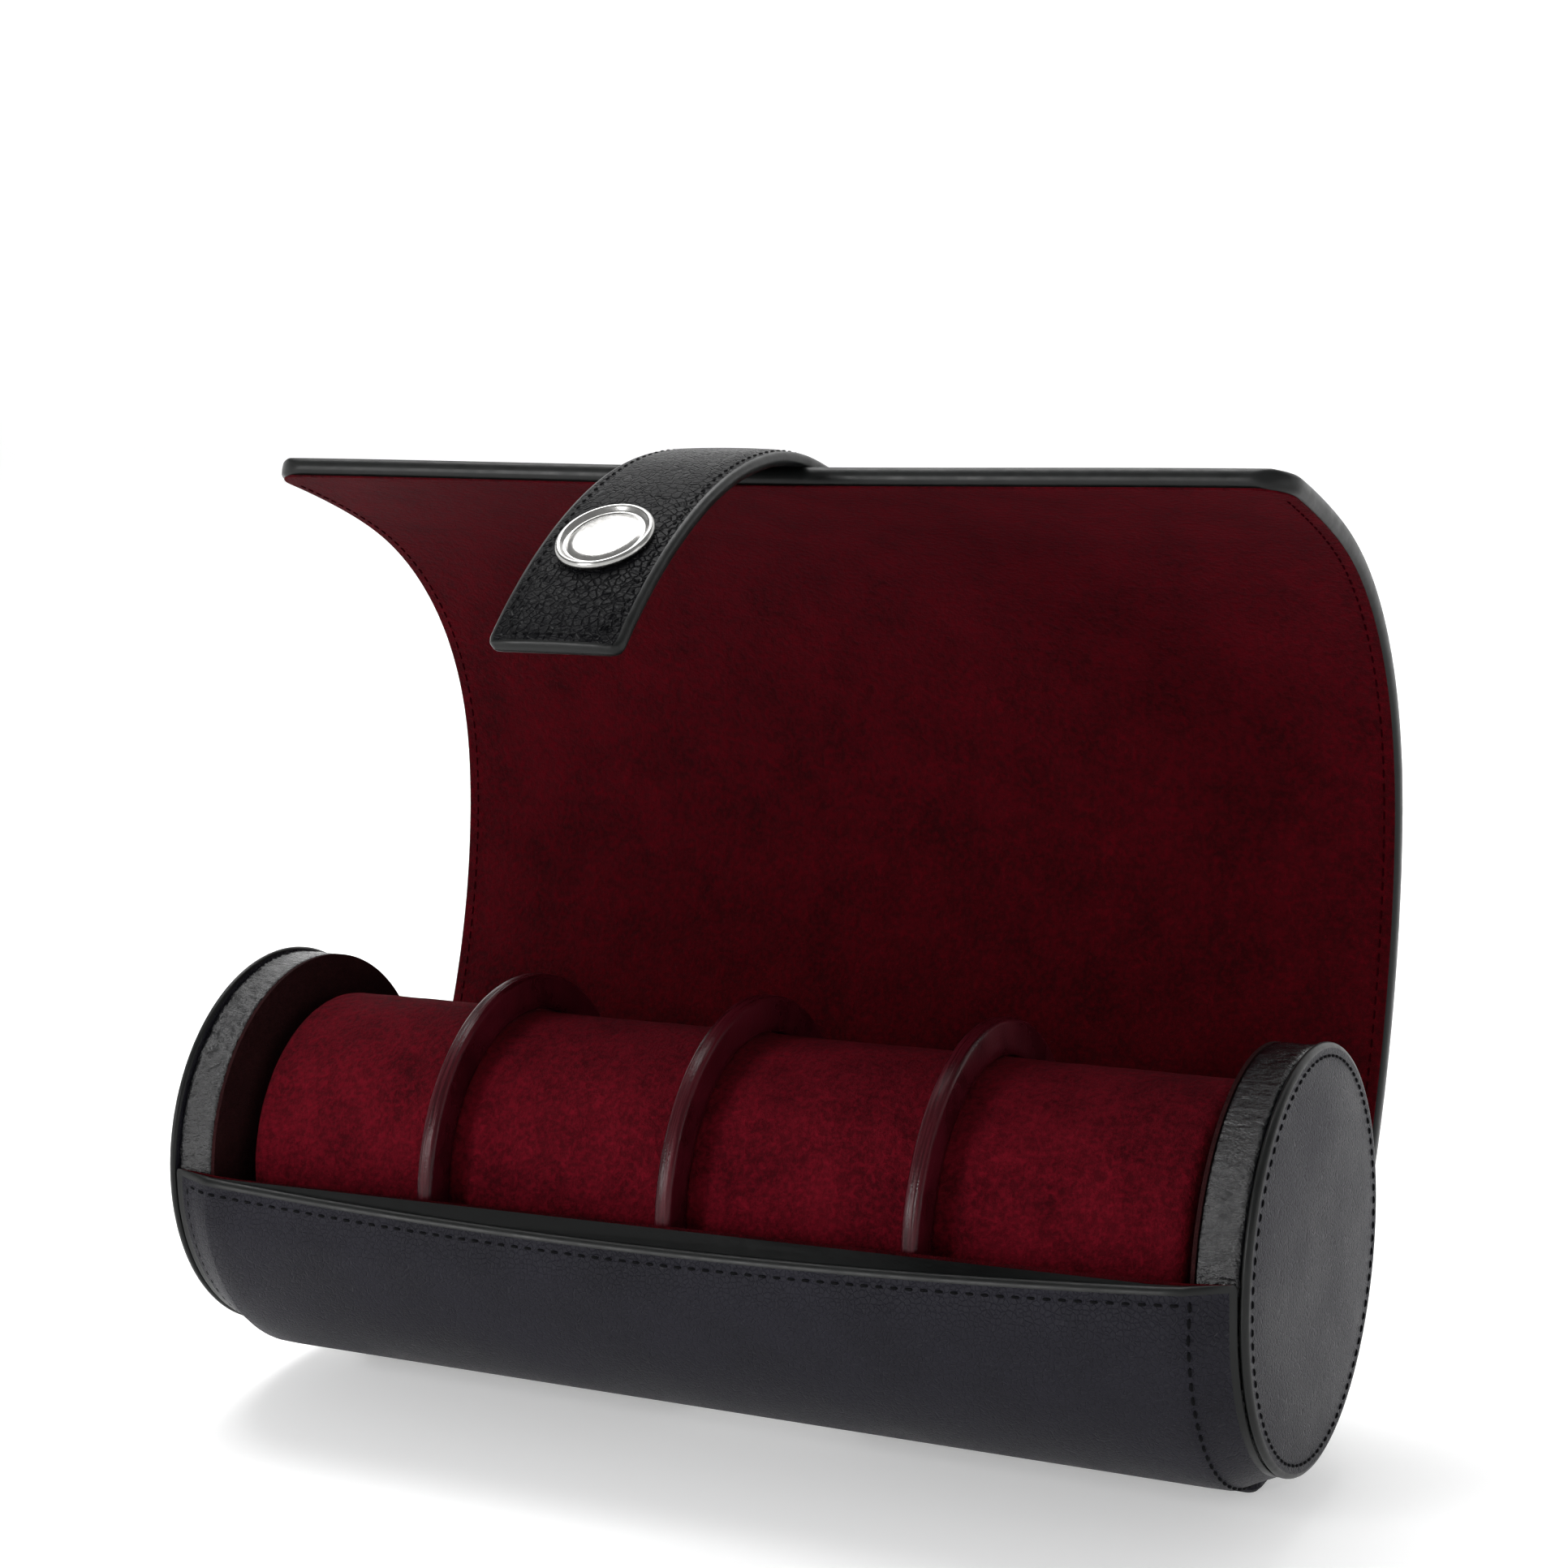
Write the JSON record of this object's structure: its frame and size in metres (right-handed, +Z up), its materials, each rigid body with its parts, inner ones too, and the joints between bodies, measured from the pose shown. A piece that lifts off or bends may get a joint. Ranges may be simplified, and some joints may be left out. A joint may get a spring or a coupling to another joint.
{
  "type": "leather watch roll case",
  "caption": "Cylindrical leather case with an open curved flap, snap strap and lift-out padded roll with divider discs.",
  "frame": {"origin": "middle of the whole open case's box, at the bottom of the base runners", "axes": "+X along the drum to the right, +Y to the back, +Z up"},
  "size_m": [0.2472, 0.1608, 0.2137],
  "materials": {
    "black_leather": "fine-grained, semi-matt",
    "strap_leather": "pebbled, semi-gloss",
    "crinkle_leather": "crinkled, glossy",
    "burgundy_suede": "napped suede",
    "facing_suede": "matt dark lining",
    "divider_leather": "fine-grained, polished edge",
    "nickel": "polished nickel",
    "foam": "felted wadding",
    "board": "pressed fibreboard"
  },
  "bodies": {
    "case": {"wrap_leather": "black_leather", "wrap_board": "board", "wrap_lining": "burgundy_suede", "end_block_left": "board", "end_block_right": "board", "rim_band_left": "crinkle_leather", "rim_band_right": "crinkle_leather", "end_facing_left": "facing_suede", "end_facing_right": "facing_suede", "end_pad_left": "foam", "end_pad_right": "foam", "end_cap_left": "black_leather", "end_cap_right": "black_leather", "base_runners": "black_leather", "snap_stud": "nickel", "stud_washer": "nickel"},
    "insert": {"roll_core": "board", "roll_padding": "foam", "roll_cover": "burgundy_suede", "roll_end_left": "burgundy_suede", "roll_end_right": "burgundy_suede"},
    "divider_1": {"divider_1_board": "board", "divider_1_facings": "divider_leather", "divider_1_edge_band": "divider_leather"},
    "divider_2": {"divider_2_board": "board", "divider_2_facings": "divider_leather", "divider_2_edge_band": "divider_leather"},
    "divider_3": {"divider_3_board": "board", "divider_3_facings": "divider_leather", "divider_3_edge_band": "divider_leather"},
    "flap_1": {"flap_leather_1": "black_leather", "flap_lining_1": "burgundy_suede"},
    "flap_2": {"flap_leather_2": "black_leather", "flap_lining_2": "burgundy_suede"},
    "flap_3": {"flap_leather_3": "black_leather", "flap_lining_3": "burgundy_suede"},
    "flap_4": {"flap_leather_4": "black_leather", "flap_lining_4": "burgundy_suede"},
    "flap_5": {"flap_leather_5": "black_leather", "flap_lining_5": "burgundy_suede"},
    "flap_6": {"flap_leather_6": "black_leather", "flap_lining_6": "burgundy_suede", "strap_root": "strap_leather"},
    "strap_a": {"strap_leather_a": "strap_leather", "strap_lining_a": "strap_leather"},
    "strap_b": {"strap_leather_b": "strap_leather", "strap_lining_b": "strap_leather", "snap_cap": "nickel", "snap_socket": "nickel"}
  },
  "joints": [
    {"name": "flap_roll_1", "type": "hinge", "parent": "case", "child": "flap_1", "pos_m": [0, 0.02928, 0.02513], "axis": [1, 0, 0], "range_deg": [-1.8, 12]},
    {"name": "flap_roll_2", "type": "hinge", "parent": "flap_1", "child": "flap_2", "pos_m": [0, 0.05477, 0.05446], "axis": [1, 0, 0], "range_deg": [-7.06, 47.01]},
    {"name": "flap_roll_3", "type": "hinge", "parent": "flap_2", "child": "flap_3", "pos_m": [0, 0.07001, 0.09036], "axis": [1, 0, 0], "range_deg": [-4.36, 29.01]},
    {"name": "flap_roll_4", "type": "hinge", "parent": "flap_3", "child": "flap_4", "pos_m": [0, 0.07578, 0.12892], "axis": [1, 0, 0], "range_deg": [-3.01, 20.01]},
    {"name": "flap_roll_5", "type": "hinge", "parent": "flap_4", "child": "flap_5", "pos_m": [0, 0.06484, 0.16583], "axis": [1, 0, 0], "range_deg": [-1.81, 12.01]},
    {"name": "flap_roll_6", "type": "hinge", "parent": "flap_5", "child": "flap_6", "pos_m": [0, 0.03547, 0.19091], "axis": [1, 0, 0], "range_deg": [-5.11, 34.01]},
    {"name": "strap_bend_1", "type": "hinge", "parent": "flap_6", "child": "strap_a", "pos_m": [0, -0.00041, 0.20992], "axis": [1, 0, 0], "range_deg": [-8, 20]},
    {"name": "strap_bend_2", "type": "hinge", "parent": "strap_a", "child": "strap_b", "pos_m": [0, -0.04163, 0.20486], "axis": [1, 0, 0], "range_deg": [-4.01, 10.01]},
    {"name": "insert_lift", "type": "slide", "parent": "case", "child": "insert", "axis": [0, 0, -1], "range_m": [-0.085, 0]},
    {"name": "divider_slide_1", "type": "slide", "parent": "insert", "child": "divider_1", "axis": [1, 0, 0], "range_m": [-0.042, 0.042]},
    {"name": "divider_slide_2", "type": "slide", "parent": "insert", "child": "divider_2", "axis": [1, 0, 0], "range_m": [-0.042, 0.042]},
    {"name": "divider_slide_3", "type": "slide", "parent": "insert", "child": "divider_3", "axis": [1, 0, 0], "range_m": [-0.042, 0.042]}
  ],
  "couplings": [
    {"joint": "flap_roll_2", "follows": "flap_roll_1", "ratio": 3.9167},
    {"joint": "flap_roll_3", "follows": "flap_roll_1", "ratio": 2.4167},
    {"joint": "flap_roll_4", "follows": "flap_roll_1", "ratio": 1.6667},
    {"joint": "flap_roll_5", "follows": "flap_roll_1", "ratio": 1},
    {"joint": "flap_roll_6", "follows": "flap_roll_1", "ratio": 2.8333},
    {"joint": "strap_bend_2", "follows": "strap_bend_1", "ratio": 0.5}
  ]
}
